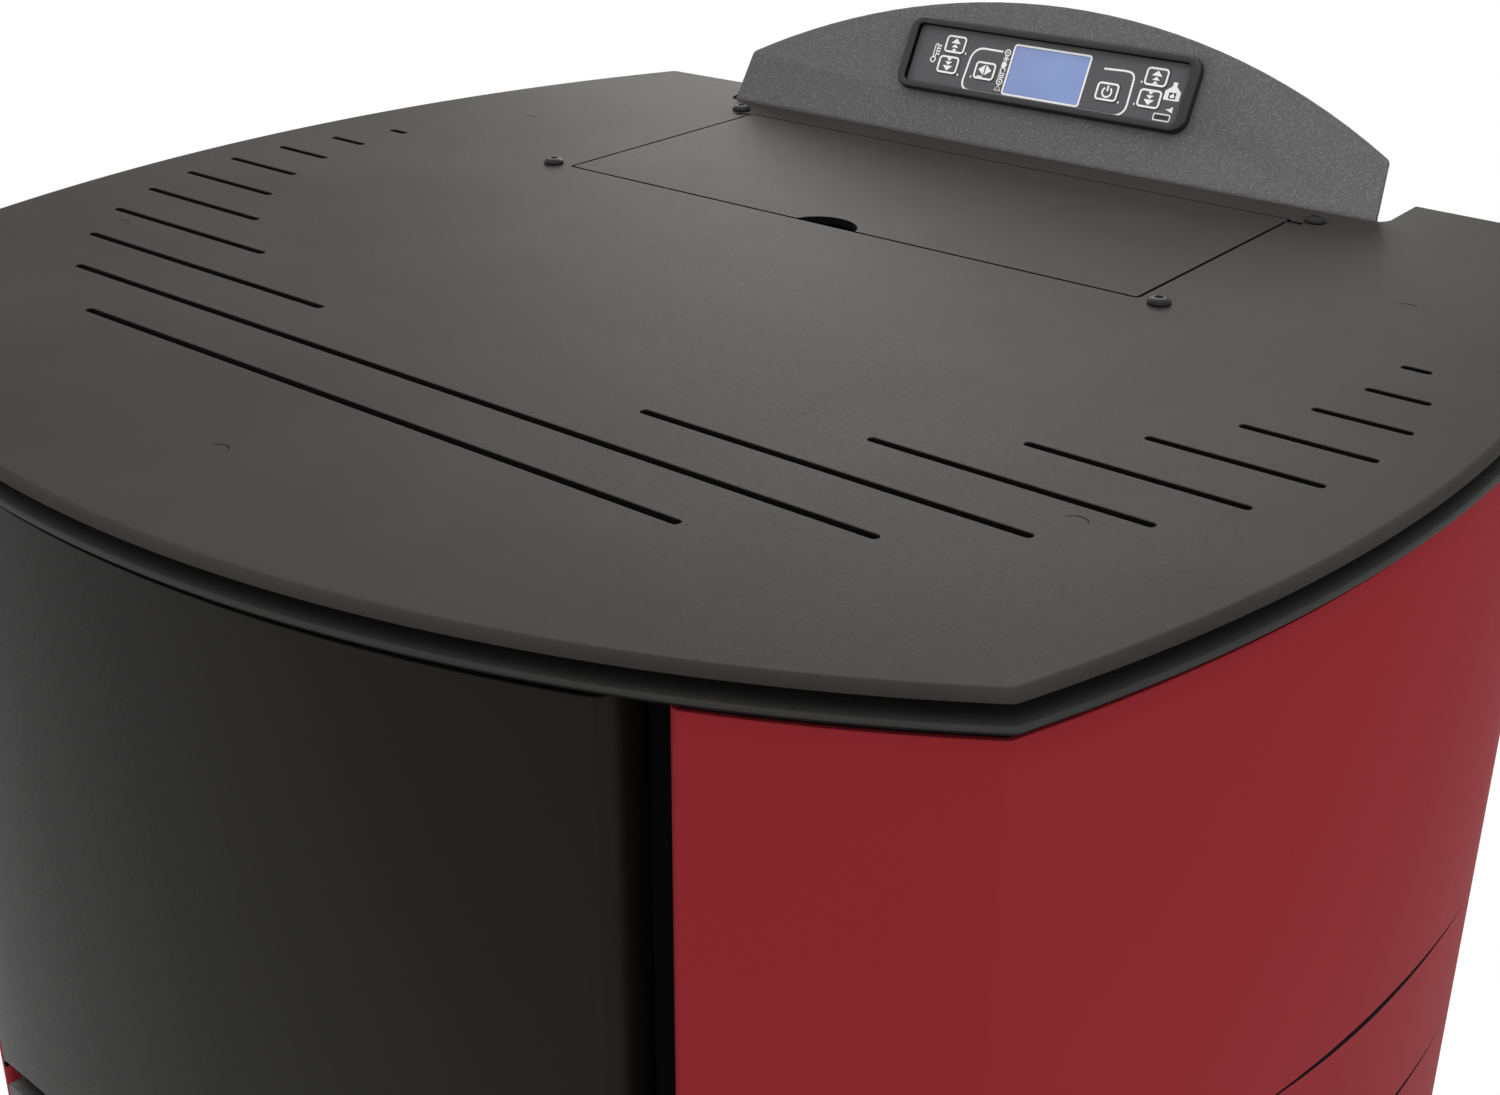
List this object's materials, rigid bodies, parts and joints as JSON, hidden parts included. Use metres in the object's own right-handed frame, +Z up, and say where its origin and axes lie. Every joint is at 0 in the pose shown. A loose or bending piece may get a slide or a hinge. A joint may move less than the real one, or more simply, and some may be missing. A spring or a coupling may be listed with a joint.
{
  "type": "pellet stove",
  "caption": "Free-standing pellet stove with curved casing, slotted top, hopper lid, leaning key panel, arched fire door, ash drawer, auger feed, fans and flue outlet.",
  "frame": {"origin": "on the floor, in the middle of the whole stove's footprint", "axes": "+Z up, -Y the stove's front, +X its right-hand side seen from the front"},
  "size_m": [0.613, 0.6068, 1.1142],
  "materials": {
    "steel_top": "matt warm grey powder coat",
    "steel_black": "satin black powder coat",
    "recess_black": "matt black paint",
    "red_enamel": "satin dark red powder coat",
    "speckled_grey": "fine speckled dark grey powder coat",
    "moulded": "satin black moulding",
    "keypad_grey": "satin grey film",
    "lcd_blue": "glossy blue display window",
    "circuit_green": "solder-resist green",
    "galvanised": "zinc-coated sheet",
    "cast_iron": "dark stove-blacked iron",
    "fasteners": "black oxide",
    "ceramic_glass": "clear fire glass, faintly brown",
    "rope_seal": "woven glass rope",
    "satin_steel": "satin steel"
  },
  "bodies": {
    "casing": {"top_plate": "steel_top", "recess_frame": "recess_black", "rim_ring": "steel_top", "top_screw_1": "fasteners", "top_screw_2": "fasteners", "top_screw_3": "fasteners", "top_screw_4": "fasteners", "console_panel": "speckled_grey", "console_back_cover": "steel_black", "keypad_bezel": "moulded", "keypad_plate": "keypad_grey", "keypad_board": "circuit_green", "lcd_display": "lcd_blue", "base_plate": "galvanised", "levelling_foot_1": "moulded", "levelling_foot_2": "moulded", "levelling_foot_3": "moulded", "levelling_foot_4": "moulded", "side_panel_right": "red_enamel", "side_panel_left": "red_enamel", "upper_front_panel": "steel_black", "lower_front_panel": "steel_black", "front_frame": "recess_black", "rear_panel": "galvanised", "door_hinge_pin_bottom": "fasteners", "door_hinge_pin_top": "fasteners", "ash_bay": "galvanised", "firebox": "cast_iron", "fireback_plate": "cast_iron", "igniter": "satin_steel", "hopper": "galvanised", "hopper_grille": "steel_black", "auger_tube": "galvanised", "auger_gearmotor": "satin_steel", "exhaust_duct": "galvanised", "exhaust_fan_housing": "galvanised", "exhaust_fan_motor": "satin_steel", "flue_outlet": "galvanised", "air_inlet": "galvanised", "room_fan_housing": "galvanised", "room_fan_motor": "satin_steel", "control_board": "circuit_green", "mains_inlet": "moulded"},
    "lid": {"hopper_lid": "steel_top"},
    "door": {"door_frame": "steel_black", "door_glass": "ceramic_glass", "door_gasket": "rope_seal"},
    "handle": {"door_handle": "satin_steel"},
    "drawer": {"ash_drawer": "steel_black"},
    "pot": {"burn_pot": "cast_iron"},
    "auger": {"auger_screw": "satin_steel"},
    "exhaust_rotor": {"exhaust_impeller": "satin_steel"},
    "room_rotor": {"room_fan_rotor": "satin_steel"},
    "rocker": {"power_switch": "moulded"},
    "key_left_up": {"key_left_up": "keypad_grey"},
    "key_left_down": {"key_left_down": "keypad_grey"},
    "key_menu": {"key_menu": "keypad_grey"},
    "key_power": {"key_power": "keypad_grey"},
    "key_right_up": {"key_right_up": "keypad_grey"},
    "key_right_down": {"key_right_down": "keypad_grey"}
  },
  "joints": [
    {"name": "lid_hinge", "type": "hinge", "parent": "casing", "child": "lid", "pos_m": [0, 0.20864, 1.04825], "axis": [-1, 0, 0], "range_deg": [0, 105]},
    {"name": "door_hinge", "type": "hinge", "parent": "casing", "child": "door", "pos_m": [-0.172, -0.24105, 0.336], "axis": [0, 0, -1], "range_deg": [0, 100]},
    {"name": "handle_turn", "type": "hinge", "parent": "door", "child": "handle", "pos_m": [0.163, -0.25416, 0.6], "axis": [-0.3461, 0.9382, 0], "range_deg": [0, 80]},
    {"name": "drawer_slide", "type": "slide", "parent": "casing", "child": "drawer", "axis": [0, -1, 0], "range_m": [0, 0.24]},
    {"name": "pot_lift", "type": "slide", "parent": "casing", "child": "pot", "axis": [0, 0, 1], "range_m": [0, 0.045]},
    {"name": "auger_turn", "type": "hinge", "parent": "casing", "child": "auger", "pos_m": [0, 0.21704, 0.466], "axis": [0, -0.7071, 0.7071], "continuous": true},
    {"name": "exhaust_fan_spin", "type": "hinge", "parent": "casing", "child": "exhaust_rotor", "pos_m": [0.095, 0.10904, 0.19], "axis": [1, 0, 0], "continuous": true},
    {"name": "room_fan_spin", "type": "hinge", "parent": "casing", "child": "room_rotor", "pos_m": [-0.105, 0.18504, 0.1], "axis": [1, 0, 0], "continuous": true},
    {"name": "power_rocker", "type": "hinge", "parent": "casing", "child": "rocker", "pos_m": [-0.17, 0.26944, 0.23], "axis": [1, 0, 0], "range_deg": [-9, 9]},
    {"name": "key_left_up_press", "type": "slide", "parent": "casing", "child": "key_left_up", "axis": [0, 0.891, -0.454], "range_m": [0, 0.0008], "stiffness_N_per_m": 500},
    {"name": "key_left_down_press", "type": "slide", "parent": "casing", "child": "key_left_down", "axis": [0, 0.891, -0.454], "range_m": [0, 0.0008], "stiffness_N_per_m": 500},
    {"name": "key_menu_press", "type": "slide", "parent": "casing", "child": "key_menu", "axis": [0, 0.891, -0.454], "range_m": [0, 0.0008], "stiffness_N_per_m": 500},
    {"name": "key_power_press", "type": "slide", "parent": "casing", "child": "key_power", "axis": [0, 0.891, -0.454], "range_m": [0, 0.0008], "stiffness_N_per_m": 500},
    {"name": "key_right_up_press", "type": "slide", "parent": "casing", "child": "key_right_up", "axis": [0, 0.891, -0.454], "range_m": [0, 0.0008], "stiffness_N_per_m": 500},
    {"name": "key_right_down_press", "type": "slide", "parent": "casing", "child": "key_right_down", "axis": [0, 0.891, -0.454], "range_m": [0, 0.0008], "stiffness_N_per_m": 500}
  ]
}
